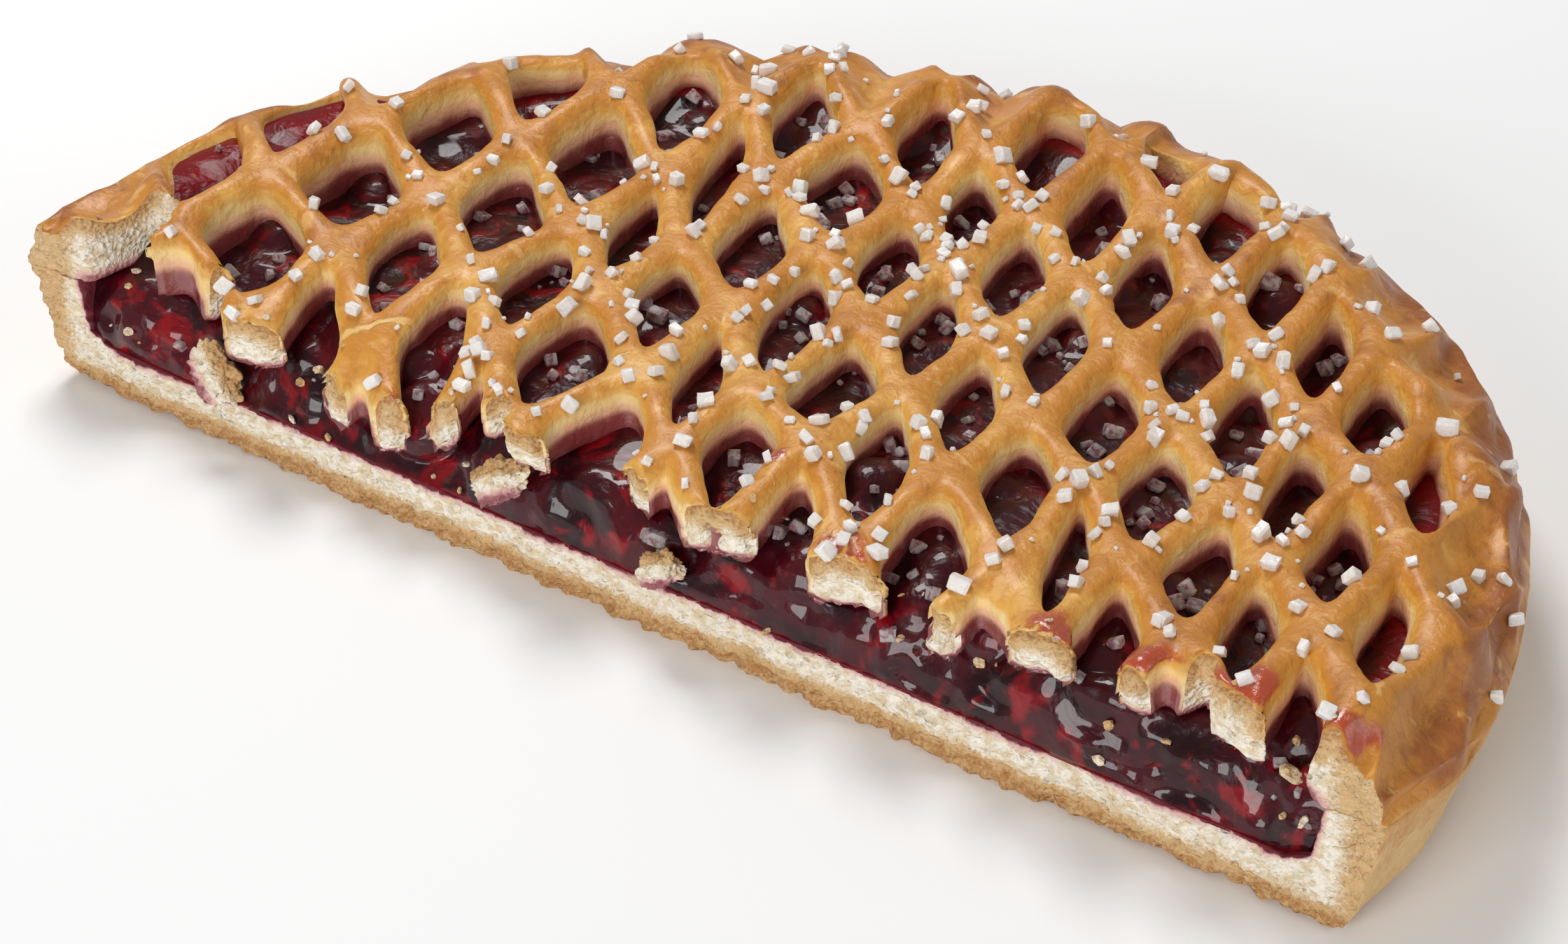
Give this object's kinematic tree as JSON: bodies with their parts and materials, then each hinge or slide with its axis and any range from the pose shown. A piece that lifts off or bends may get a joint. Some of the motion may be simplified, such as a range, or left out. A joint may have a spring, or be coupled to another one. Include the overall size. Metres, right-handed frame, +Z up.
{
  "type": "cherry pie half",
  "caption": "Half of a round, low cherry pie cut across, with a dough base and wall, a jelly cherry filling and a pulled dough lattice that wraps over the scalloped rim.",
  "frame": {"origin": "centre of the whole round pie, on its underside; the cut runs 8 mm past it", "axes": "+X along the cut, +Y from the cut towards the round rim, +Z up"},
  "size_m": [0.2779, 0.1511, 0.0377],
  "materials": {
    "base_dough": "matte golden baked dough, cream crumb at the cut",
    "cherry_filling": "wet dark red jelly with cherries",
    "baked_dough": "egg-washed golden brown dough, satin",
    "crumb": "dry open crumb, matte"
  },
  "bodies": {
    "root": {"crust": "base_dough", "cherry_filling": "cherry_filling", "lattice_lid": "baked_dough", "crust_chip_left": "crumb", "crust_chip_middle": "crumb", "crust_chip_right": "crumb"}
  },
  "joints": []
}
